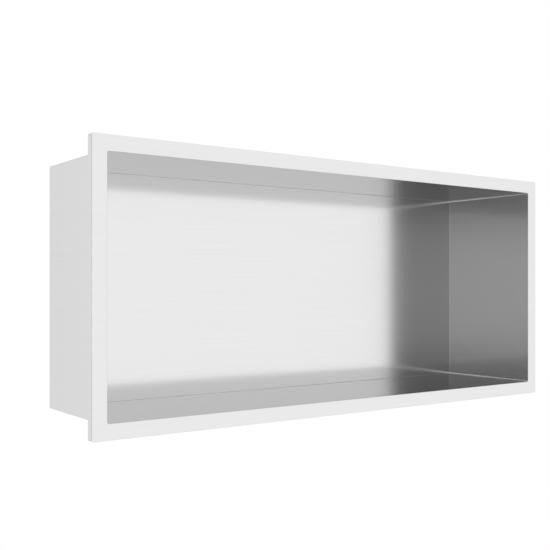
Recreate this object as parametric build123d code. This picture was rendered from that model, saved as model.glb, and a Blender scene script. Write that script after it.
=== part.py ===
"""Shower niche insert: a tray folded and welded from one stainless sheet.

The frame is the wall's. X runs along the width, +Y goes into the wall and +Z is up.
The origin is the middle of the opening, in the plane of the finished wall, where the rim's edge seats.
All sizes are in millimetres.
"""

import os

from build123d import *

# Overall sizes, from edge to edge of the rim and from the rim's face to the back
overall_width = 450.0
overall_height = 200.0
overall_depth = 100.0

# Sheet, and the outside radius of its folds, which are grooved first and so are sharp inside
sheet = 1.2
fold_edge_radius = 0.3

# Welded seams at the tray's four corners, dressed to these radii
seam_inside = 1.2
seam_outside = 0.8

# Rim: a flange round the mouth whose outer edge is turned back to the wall
flange_width = 11.0
return_depth = 6.0
rim_corner_inside = 0.3

# How far from a plane an edge may lie and still count as in it
in_plane = 0.01

# Rim's corners in the front view, one sheet larger outside than inside
rim_corner_outside = rim_corner_inside + sheet

# Depth stations along Y
wall_y = 0.0
face_y = wall_y - return_depth
flange_back_y = face_y + sheet
back_y = face_y + overall_depth
tray_floor_y = back_y - sheet

# Clear mouth of the tray, and the outside of its walls
mouth_width = overall_width - 2 * flange_width
mouth_height = overall_height - 2 * flange_width
body_width = mouth_width + 2 * sheet
body_height = mouth_height + 2 * sheet


def facing_wall(y):
    """Plane across the depth at y, looking into the wall."""
    return Plane(origin=(0, y, 0), x_dir=(1, 0, 0), z_dir=(0, 1, 0))


def edges_at(shape, y):
    """Edges of a shape that lie in the plane across the depth at y."""
    return shape.edges().filter_by_position(Axis.Y, y - in_plane, y + in_plane)


def rounded_block(width, height, corner, front_y, end_y):
    """Block from front_y to end_y, with rounded corners in the front view."""
    outline = RectangleRounded(width, height, corner)
    return extrude(facing_wall(front_y) * outline, amount=end_y - front_y)


def within_body(edge):
    """True for an edge that runs round the tray and not round the rim."""
    size = edge.bounding_box()
    inside_width = max(-size.min.X, size.max.X) < body_width / 2 + sheet / 2
    inside_height = max(-size.min.Z, size.max.Z) < body_height / 2 + sheet / 2
    return inside_width and inside_height


def folded_rim():
    """Flange and turned-back edge, as a shallow pan that is open towards the wall."""
    skin = rounded_block(overall_width, overall_height, rim_corner_outside, face_y, wall_y)
    skin = fillet(edges_at(skin, face_y), fold_edge_radius)
    hollow_width = overall_width - 2 * sheet
    hollow_height = overall_height - 2 * sheet
    return skin - rounded_block(hollow_width, hollow_height, rim_corner_inside, flange_back_y, wall_y)


def tray_body():
    """Outside of the tray, from the rear of the flange to the tray's own back."""
    body = rounded_block(body_width, body_height, seam_outside, flange_back_y, back_y)
    return fillet(edges_at(body, back_y), fold_edge_radius)


def niche_insert():
    """The tray with its rim, at one sheet thickness all over."""
    cavity = rounded_block(mouth_width, mouth_height, seam_inside, face_y, tray_floor_y)
    opened = folded_rim() + tray_body() - cavity
    mouth = edges_at(opened, face_y).filter_by(within_body)
    return fillet(mouth, fold_edge_radius)


os.makedirs("parts", exist_ok=True)
export_step(niche_insert(), "parts/niche_insert.step")
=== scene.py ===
"""Shower niche insert: one folded tray of satin stainless sheet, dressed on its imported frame.

The frame is the wall's: X runs along the width, +Y goes into the wall and +Z is up, in metres.
The origin is the middle of the opening, in the plane of the finished wall.
"""

import logging
import math
from dataclasses import dataclass, field
from enum import Enum

import bpy
import numpy as np
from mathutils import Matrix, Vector
from numpy.typing import NDArray


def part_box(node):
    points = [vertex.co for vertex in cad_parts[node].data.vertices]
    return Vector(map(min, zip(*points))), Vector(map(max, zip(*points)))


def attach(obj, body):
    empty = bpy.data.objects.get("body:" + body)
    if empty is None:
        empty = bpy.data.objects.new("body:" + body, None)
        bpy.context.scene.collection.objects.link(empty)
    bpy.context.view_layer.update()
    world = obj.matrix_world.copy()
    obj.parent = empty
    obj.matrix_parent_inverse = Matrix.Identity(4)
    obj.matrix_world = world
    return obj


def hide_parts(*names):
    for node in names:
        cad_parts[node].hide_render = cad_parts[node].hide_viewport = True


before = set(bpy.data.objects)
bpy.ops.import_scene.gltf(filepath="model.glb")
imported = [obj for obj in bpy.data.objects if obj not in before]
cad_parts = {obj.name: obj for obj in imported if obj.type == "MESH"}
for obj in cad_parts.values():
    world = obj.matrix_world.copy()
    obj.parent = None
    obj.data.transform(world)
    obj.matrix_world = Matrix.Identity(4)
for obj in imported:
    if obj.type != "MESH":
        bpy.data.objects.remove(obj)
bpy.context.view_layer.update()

Array = NDArray[np.float64]

log = logging.getLogger("niche")

MM = 0.001
QUARTER = math.pi / 2
FULL_TURN = 4 * QUARTER
GRAIN_MAP = "sheet_grain"


class Bend(Enum):
    """How a bend shows on the side of the sheet that is being walked along."""

    ROUND = 1
    HOLLOW = -1


@dataclass(frozen=True)
class Leg:
    """A straight run of the sheet's skin and the quarter bend at its end.

    The shift says how far the centre of the corner's turn lies outside the tray's own corner.
    """

    run: float
    radius: float
    bend: Bend
    shift: float
    steps: int


@dataclass(frozen=True)
class Outline:
    """Stations of the sheet's cross-section, walked from the inside of the back to the outside of it.

    Each array has one value per station: how far out it lies from the tray's corner centres, its depth,
    the shift of its corner centres, the two parts of its normal, and the length walked so far.
    """

    out: Array
    depth: Array
    shift: Array
    normal_out: Array
    normal_depth: Array
    walked: Array


@dataclass(frozen=True)
class SatinSteel:
    """Stainless sheet with a fine satin grain that runs one way over the whole blank.

    The grain map lays the blank flat, and the streaks and the stretched sheen follow its length.
    Each noise is used from noise_low to noise_high, where nearly all of its values lie.
    """

    slot: str = "stainless_sheet"
    pale: float = 0.712
    deep: float = 0.698
    edge_tint: float = 0.75
    roughness_low: float = 0.14
    roughness_high: float = 0.18
    sheen_stretch: float = 0.65
    fine_pitch: float = 0.3 * MM
    fine_length: float = 30.0 * MM
    fine_detail: float = 2.0
    broad_pitch: float = 1.6 * MM
    broad_length: float = 120.0 * MM
    broad_detail: float = 3.0
    noise_low: float = 0.3
    noise_high: float = 0.7
    grain_depth: float = 0.001 * MM
    grain_strength: float = 0.5

    def streaks(
        self, tree: bpy.types.NodeTree, pitch: float, length: float, detail: float
    ) -> bpy.types.NodeSocket:
        """Noise drawn out along the grain: its cell is one pitch wide and one length long.

        Args:
            tree: Node tree of the material.
            pitch: Width of a streak, in metres.
            length: Length of a streak, in metres.
            detail: Octaves of finer streaks inside each one.

        Returns:
            The socket that gives the streaks, from 0 to 1.
        """
        sheet = tree.nodes.new("ShaderNodeUVMap")
        sheet.uv_map = GRAIN_MAP
        scale = tree.nodes.new("ShaderNodeMapping")
        scale.inputs["Scale"].default_value = (1.0 / length, 1.0 / pitch, 1.0)
        noise = tree.nodes.new("ShaderNodeTexNoise")
        noise.inputs["Scale"].default_value = 1.0
        noise.inputs["Detail"].default_value = detail
        tree.links.new(sheet.outputs["UV"], scale.inputs["Vector"])
        tree.links.new(scale.outputs["Vector"], noise.inputs["Vector"])
        return noise.outputs["Fac"]

    def between(
        self, tree: bpy.types.NodeTree, source: bpy.types.NodeSocket, low: float, high: float
    ) -> bpy.types.NodeSocket:
        """Carries the middle of a noise's range over to the range from low to high.

        Args:
            tree: Node tree of the material.
            source: Socket of the noise.
            low: Value where the noise is low.
            high: Value where the noise is high.

        Returns:
            The socket of the new value.
        """
        span = tree.nodes.new("ShaderNodeMapRange")
        span.inputs["From Min"].default_value = self.noise_low
        span.inputs["From Max"].default_value = self.noise_high
        span.inputs["To Min"].default_value = low
        span.inputs["To Max"].default_value = high
        tree.links.new(source, span.inputs["Value"])
        return span.outputs["Result"]

    def material(self) -> bpy.types.Material:
        """Builds the finish: metal whose colour, roughness and surface all follow the grain.

        Its sheen is wider along the blank's length than across it.

        Returns:
            The new material.
        """
        made = bpy.data.materials.new(self.slot)
        made.use_nodes = True
        tree = made.node_tree
        shader = tree.nodes["Principled BSDF"]
        shader.inputs["Metallic"].default_value = 1.0
        tint = (self.edge_tint, self.edge_tint, self.edge_tint, 1.0)
        shader.inputs["Specular Tint"].default_value = tint
        shader.inputs["Anisotropic"].default_value = self.sheen_stretch
        lengthwise = tree.nodes.new("ShaderNodeTangent")
        lengthwise.direction_type = "UV_MAP"
        lengthwise.uv_map = GRAIN_MAP
        tree.links.new(lengthwise.outputs["Tangent"], shader.inputs["Tangent"])
        fine = self.streaks(tree, self.fine_pitch, self.fine_length, self.fine_detail)
        broad = self.streaks(tree, self.broad_pitch, self.broad_length, self.broad_detail)
        tone = self.between(tree, broad, self.deep, self.pale)
        tree.links.new(tone, shader.inputs["Base Color"])
        rough = self.between(tree, fine, self.roughness_low, self.roughness_high)
        tree.links.new(rough, shader.inputs["Roughness"])
        bump = tree.nodes.new("ShaderNodeBump")
        bump.inputs["Strength"].default_value = self.grain_strength
        bump.inputs["Distance"].default_value = self.grain_depth
        tree.links.new(fine, bump.inputs["Height"])
        tree.links.new(bump.outputs["Normal"], shader.inputs["Normal"])
        return made


@dataclass
class NicheTray:
    """The tray with its rim: walls, back, flange and turned-back edge, folded from one sheet.

    The back's bow is how far its normals turn at either end, in degrees. The core is the half width and
    half height between the centres of the tray's inside corners.
    """

    node: str = "niche_insert"
    body: str = "root"
    name: str = "niche_tray"
    sheet: float = 1.2 * MM
    edge_radius: float = 0.3 * MM
    root_radius: float = 0.25 * MM
    rim_corner: float = 1.5 * MM
    seam_inside: float = 1.2 * MM
    seam_outside: float = 0.8 * MM
    flange_width: float = 11.0 * MM
    edge_break: float = 0.12 * MM
    back_bow: float = 2.1
    fold_steps: int = 6
    edge_steps: int = 3
    corner_steps: int = 12
    half_width: float = field(init=False)
    half_height: float = field(init=False)
    face_depth: float = field(init=False)
    back_depth: float = field(init=False)
    core_width: float = field(init=False)
    core_height: float = field(init=False)

    def __post_init__(self) -> None:
        """Takes the overall sizes from the CAD node's box."""
        low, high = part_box(self.node)
        self.half_width = high.x
        self.half_height = high.z
        self.face_depth = low.y
        self.back_depth = high.y
        self.core_width = self.half_width - self.flange_width - self.seam_inside
        self.core_height = self.half_height - self.flange_width - self.seam_inside

    def legs(self) -> list[Leg]:
        """Runs and bends of the sheet's skin, from the inside of the back to its outside.

        Returns:
            The legs in the order in which they are walked.
        """
        edge, root, cut_edge = self.edge_radius, self.root_radius, self.edge_break
        depth = self.back_depth - self.face_depth
        rim_shift = self.flange_width + self.seam_inside - self.rim_corner
        seam_shift = self.seam_inside + self.sheet - self.seam_outside
        wall = depth - self.sheet - root - edge
        flange_front = self.flange_width - 2 * edge
        flange_rear = self.flange_width - 2 * self.sheet - 2 * root
        turned_outside = -self.face_depth - edge - cut_edge
        turned_inside = -self.face_depth - self.sheet - root - cut_edge
        cut = self.sheet - 2 * cut_edge
        return [
            Leg(0.0, root, Bend.HOLLOW, 0.0, self.edge_steps),
            Leg(wall, edge, Bend.ROUND, 0.0, self.fold_steps),
            Leg(flange_front, edge, Bend.ROUND, rim_shift, self.fold_steps),
            Leg(turned_outside, cut_edge, Bend.ROUND, rim_shift, self.edge_steps),
            Leg(cut, cut_edge, Bend.ROUND, rim_shift, self.edge_steps),
            Leg(turned_inside, root, Bend.HOLLOW, rim_shift, self.edge_steps),
            Leg(flange_rear, root, Bend.HOLLOW, seam_shift, self.edge_steps),
            Leg(wall, edge, Bend.ROUND, seam_shift, self.fold_steps),
        ]

    def outline(self) -> Outline:
        """Walks the legs: each run goes straight on, and each bend turns a quarter round its centre.

        A point of a bend is its centre plus the radius along the heading turned a quarter back.

        Returns:
            The stations of the whole cross-section.
        """
        place = np.array([self.seam_inside - self.root_radius, self.back_depth - self.sheet])
        heading = 0.0
        length = 0.0
        rows: list[Array] = []
        for leg in self.legs():
            place = place + leg.run * np.array([math.cos(heading), math.sin(heading)])
            length += leg.run
            sign = leg.bend.value
            centre = place + sign * leg.radius * np.array([-math.sin(heading), math.cos(heading)])
            turned = np.linspace(0.0, QUARTER, leg.steps + 1)
            angle = heading + sign * turned
            normal = np.stack([np.sin(angle), -np.cos(angle)], axis=1)
            points = centre + sign * leg.radius * normal
            shift = np.full_like(turned, leg.shift)
            walked = length + leg.radius * turned
            rows.append(np.column_stack([points, shift, normal, walked]))
            place = points[-1]
            heading += sign * QUARTER
            length += leg.radius * QUARTER
        return Outline(*np.concatenate(rows).T)

    def around(self) -> tuple[Array, Array, Array]:
        """Directions round the mouth: each corner turns a quarter, and the sides join the corners.

        Returns:
            The angle of each point, and the side of the middle that it lies on in width and in height.
        """
        turned = np.linspace(0.0, QUARTER, self.corner_steps + 1)
        angle = (np.arange(4)[:, None] * QUARTER + turned).ravel()
        right = np.repeat([1.0, -1.0, -1.0, 1.0], turned.size)
        upper = np.repeat([1.0, 1.0, -1.0, -1.0], turned.size)
        return angle, right, upper

    def surface(self, walk: Outline) -> tuple[Array, Array]:
        """Carries the outline round the mouth: each corner's centre plus the distance out along a direction.

        The folds pull the back's panel slightly hollow, which shows only in what it mirrors: its normals
        turn towards the middle, in proportion to the distance from it.

        Args:
            walk: Stations of the cross-section.

        Returns:
            Points and normals, each by station, direction and axis.
        """
        angle, right, upper = self.around()
        reach = (walk.out - walk.shift)[:, None]
        shift = walk.shift[:, None]
        ones = np.ones_like(angle)
        points = np.stack(
            [
                right * (self.core_width + shift) + reach * np.cos(angle),
                walk.depth[:, None] * ones,
                upper * (self.core_height + shift) + reach * np.sin(angle),
            ],
            axis=2,
        )
        normals = np.stack(
            [
                walk.normal_out[:, None] * np.cos(angle),
                walk.normal_depth[:, None] * ones,
                walk.normal_out[:, None] * np.sin(angle),
            ],
            axis=2,
        )
        normals[0, :, 0] = -math.radians(self.back_bow) * points[0, :, 0] / self.core_width
        return points, normals

    def grain(self, walk: Outline, points: Array) -> tuple[Array, Array]:
        """Lays the blank flat: the grain follows the width, and turns into the depth on the end walls.

        Args:
            walk: Stations of the cross-section.
            points: Points by station, direction and axis.

        Returns:
            Places on the blank for the end walls, and for the top, bottom, back and flange.
        """
        walked = walk.walked[:, None] * np.ones(points.shape[1])
        ends = np.stack([self.core_width + walked, points[:, :, 2]], axis=2)
        longs = np.stack([points[:, :, 0], self.core_height + walked], axis=2)
        return ends, longs

    def mesh(self) -> bpy.types.Mesh:
        """Joins the stations to a closed skin: quads between them, and one panel at each side of the back.

        Returns:
            The finished mesh, with its normals and its grain map.
        """
        walk = self.outline()
        points, normals = self.surface(walk)
        stations, count = points.shape[:2]

        # Each quad joins two stations that follow each other and two directions that do
        index = np.arange(stations * count).reshape(stations, count)
        column = np.arange(count)
        after = np.roll(column, -1)
        near = np.repeat(np.arange(stations - 1), count)
        here = np.tile(column, stations - 1)
        there = np.tile(after, stations - 1)
        row = np.stack([near, near + 1, near + 1, near], axis=1)
        col = np.stack([here, here, there, there], axis=1)
        panels = [index[0].tolist(), index[-1][::-1].tolist()]

        # A quad belongs to the side that its middle faces: 0 right, 1 top, 2 left and 3 bottom
        angle = self.around()[0]
        ahead = np.where(after == 0, angle[0] + FULL_TURN, angle[after])
        side = np.floor(((angle + ahead) / 2 + QUARTER / 2) / QUARTER).astype(int) % 4
        end_wall = (side % 2 == 0)[here]
        ends, longs = self.grain(walk, points)
        laid = np.where(end_wall[:, None, None], ends[row, col], longs[row, col])
        backs = points.reshape(-1, 3)[np.array(panels)][:, :, [0, 2]]
        grain_map = np.concatenate([laid.reshape(-1, 2), backs.reshape(-1, 2)])

        made = bpy.data.meshes.new(self.name)
        made.from_pydata(points.reshape(-1, 3).tolist(), [], index[row, col].tolist() + panels)
        made.uv_layers.new(name=GRAIN_MAP)
        made.uv_layers[GRAIN_MAP].data.foreach_set("uv", grain_map.ravel())
        made.shade_smooth()
        made.normals_split_custom_set_from_vertices(normals.reshape(-1, 3).tolist())
        made.update()
        return made

    def build(self) -> bpy.types.Object:
        """Puts the tray into the scene, in place of its CAD node.

        Returns:
            The tray's object.
        """
        tray = bpy.data.objects.new(self.name, self.mesh())
        bpy.context.scene.collection.objects.link(tray)
        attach(tray, self.body)
        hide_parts(self.node)
        return tray

    def dress(self, tray: bpy.types.Object, finish: SatinSteel) -> None:
        """Gives the tray its finish.

        Args:
            tray: The tray's object.
            finish: The steel it is folded from.
        """
        tray.data.materials.append(finish.material())


@dataclass(frozen=True)
class Softbox:
    """A soft lamp that faces the niche from one direction.

    Angles are in degrees. The azimuth is counted from the front towards +X, and the radiance is what the
    steel sees of the lamp.
    """

    name: str
    azimuth: float
    elevation: float
    distance: float
    width: float
    height: float
    radiance: float

    def place(self) -> bpy.types.Object:
        """Hangs the lamp in its direction, turned to the niche.

        Returns:
            The lamp's object.
        """
        data = bpy.data.lights.new(self.name, "AREA")
        data.shape = "RECTANGLE"
        data.size = self.width
        data.size_y = self.height
        data.energy = self.radiance * math.pi * self.width * self.height
        turn, rise = math.radians(self.azimuth), math.radians(self.elevation)
        level = math.cos(rise)
        towards = Vector((math.sin(turn) * level, -math.cos(turn) * level, math.sin(rise)))
        lamp = bpy.data.objects.new(self.name, data)
        lamp.location = towards * self.distance
        lamp.rotation_mode = "QUATERNION"
        lamp.rotation_quaternion = towards.to_track_quat("Z", "Y")
        bpy.context.scene.collection.objects.link(lamp)
        return lamp


def plain_paint(name: str, grey: float) -> bpy.types.Material:
    """Matt paint of one even grey.

    Args:
        name: Name of the material.
        grey: How pale the paint is, from 0 to 1.

    Returns:
        The new material.
    """
    made = bpy.data.materials.new(name)
    made.use_nodes = True
    shader = made.node_tree.nodes["Principled BSDF"]
    shader.inputs["Base Color"].default_value = (grey, grey, grey, 1.0)
    shader.inputs["Roughness"].default_value = 1.0
    shader.inputs["Specular IOR Level"].default_value = 0.0
    return made


@dataclass
class Studio:
    """An evenly white room with a pale floor, and a dark grey card that the steel mirrors.

    The floor's fade is the share of its radius over which paint and white blend.
    """

    floor_drop: float = 0.8
    floor_radius: float = 1.6
    floor_steps: int = 96
    floor_paint: float = 0.98
    floor_fade: float = 0.6
    card_azimuth: float = -44.5
    card_distance: float = 4.2
    card_width: float = 3.31
    card_height: float = 4.28
    card_paint: float = 0.1
    room_level: float = 1.0

    def softboxes(self) -> list[Softbox]:
        """The lamps: a key at the front right, one overhead, two strips before the card and one at the left.

        Each has its azimuth and elevation, its distance, its width and height, and its radiance.

        Returns:
            The lamps, none of them in the scene yet.
        """
        return [
            Softbox("key", 35.0, 0.0, 1.7, 2.2, 1.4, 0.17),
            Softbox("overhead", 0.0, 89.0, 1.8, 2.0, 2.0, 0.2),
            Softbox("strip", -54.0, 0.0, 4.0, 1.31, 0.88, 0.273),
            Softbox("wide_strip", -50.4, 0.0, 4.0, 2.03, 0.84, 0.243),
            Softbox("side", -158.0, 0.0, 3.0, 2.5, 1.6, 0.07),
        ]

    def show(self, name: str, mesh: bpy.types.Mesh, paint: bpy.types.Material) -> bpy.types.Object:
        """Puts a painted thing of the room into the scene.

        Args:
            name: Name of the thing.
            mesh: Its shape.
            paint: Its material.

        Returns:
            The new object, which isn't part of the niche.
        """
        mesh.materials.append(paint)
        thing = bpy.data.objects.new(name, mesh)
        bpy.context.scene.collection.objects.link(thing)
        return thing

    def floor_finish(self) -> bpy.types.Material:
        """Pale paint in the middle that turns into the room's own white towards the floor's edge.

        The share of paint falls smoothly with the distance from the middle, and is nothing at the edge.

        Returns:
            The new material.
        """
        made = plain_paint("floor_paint", self.floor_paint)
        tree = made.node_tree
        place = tree.nodes.new("ShaderNodeTexCoord")
        scale = tree.nodes.new("ShaderNodeMapping")
        scale.inputs["Location"].default_value = (0.0, 0.0, self.floor_drop / self.floor_radius)
        scale.inputs["Scale"].default_value = (1.0 / self.floor_radius,) * 3
        inward = tree.nodes.new("ShaderNodeTexGradient")
        inward.gradient_type = "SPHERICAL"
        share = tree.nodes.new("ShaderNodeMapRange")
        share.interpolation_type = "SMOOTHSTEP"
        share.inputs["From Max"].default_value = self.floor_fade
        white = tree.nodes.new("ShaderNodeEmission")
        white.inputs["Strength"].default_value = self.room_level
        blend = tree.nodes.new("ShaderNodeMixShader")
        tree.links.new(place.outputs["Object"], scale.inputs["Vector"])
        tree.links.new(scale.outputs["Vector"], inward.inputs["Vector"])
        tree.links.new(inward.outputs["Fac"], share.inputs["Value"])
        paint_share, at_edge, in_middle = blend.inputs
        tree.links.new(share.outputs["Result"], paint_share)
        tree.links.new(white.outputs["Emission"], at_edge)
        tree.links.new(tree.nodes["Principled BSDF"].outputs["BSDF"], in_middle)
        tree.links.new(blend.outputs["Shader"], tree.nodes["Material Output"].inputs["Surface"])
        return made

    def floor(self) -> bpy.types.Object:
        """Lays a round floor: its edge is one radius from the middle in every direction.

        Returns:
            The floor's object.
        """
        angle = np.linspace(0.0, FULL_TURN, self.floor_steps, endpoint=False)
        level = np.full_like(angle, -self.floor_drop)
        edge = np.column_stack([self.floor_radius * np.cos(angle), self.floor_radius * np.sin(angle), level])
        mesh = bpy.data.meshes.new("floor")
        mesh.from_pydata(edge.tolist(), [], [list(range(self.floor_steps))])
        return self.show("floor", mesh, self.floor_finish())

    def card(self) -> bpy.types.Object:
        """Stands an upright card across one direction from the niche, out of the camera's sight.

        Returns:
            The card's object.
        """
        turn = math.radians(self.card_azimuth)
        away = np.array([math.sin(turn), -math.cos(turn), 0.0])
        across = np.array([math.cos(turn), math.sin(turn), 0.0])
        sides = np.array([[-0.5, -0.5], [0.5, -0.5], [0.5, 0.5], [-0.5, 0.5]])
        rise = np.array([0.0, 0.0, 1.0])
        sideways = sides[:, :1] * self.card_width * across
        upwards = sides[:, 1:] * self.card_height * rise
        points = self.card_distance * away + sideways + upwards
        mesh = bpy.data.meshes.new("grey_card")
        mesh.from_pydata(points.tolist(), [], [[0, 1, 2, 3]])
        card = self.show("grey_card", mesh, plain_paint("card_grey", self.card_paint))
        card.visible_camera = False
        return card

    def build(self) -> None:
        """Sets up the floor, the card, the lamps, the room's even light and the plain colour view."""
        for thing in (self.floor(), self.card()):
            log.info("stage %s", thing.name)
        for softbox in self.softboxes():
            softbox.place()
            log.info("lamp %s", softbox.name)
        room = bpy.data.worlds.new("room")
        room.use_nodes = True
        background = room.node_tree.nodes["Background"]
        background.inputs["Color"].default_value = (1.0, 1.0, 1.0, 1.0)
        background.inputs["Strength"].default_value = self.room_level
        bpy.context.scene.world = room
        bpy.context.scene.view_settings.view_transform = "Standard"


@dataclass(frozen=True)
class ProductCamera:
    """A level camera to the left of the niche, as the photograph was taken.

    Lens and sensor are in millimetres, the turn is in degrees, and the shift is in widths of the picture.
    """

    lens: float = 55.61
    sensor: float = 36.0
    turned: float = 35.58
    sideways: float = 61.43 * MM
    away: float = 682.7 * MM
    raised: float = 0.14 * MM
    shift_up: float = 0.0222

    def place(self) -> bpy.types.Object:
        """Stands the camera back along its line of sight and to the left of it.

        Returns:
            The camera's object, which is the scene's camera now.
        """
        data = bpy.data.cameras.new("product_camera")
        data.lens = self.lens
        data.sensor_width = self.sensor
        data.shift_y = self.shift_up
        turn = math.radians(self.turned)
        right = Vector((math.cos(turn), -math.sin(turn), 0.0))
        forward = Vector((math.sin(turn), math.cos(turn), 0.0))
        camera = bpy.data.objects.new("product_camera", data)
        camera.location = -self.sideways * right - self.away * forward
        camera.location.z = self.raised
        camera.rotation_euler = (QUARTER, 0.0, -turn)
        bpy.context.scene.collection.objects.link(camera)
        bpy.context.scene.camera = camera
        return camera


def main() -> None:
    """Builds the niche, the studio and the camera, in that order."""
    logging.basicConfig(level=logging.INFO, format="%(name)s: %(message)s")
    niche = NicheTray()
    tray = niche.build()
    niche.dress(tray, SatinSteel())
    log.info("piece %s: %d points, %d faces", tray.name, len(tray.data.vertices), len(tray.data.polygons))
    Studio().build()
    camera = ProductCamera().place()
    log.info("camera at %s", [round(value, 4) for value in camera.location])


if __name__ == "__main__":
    main()
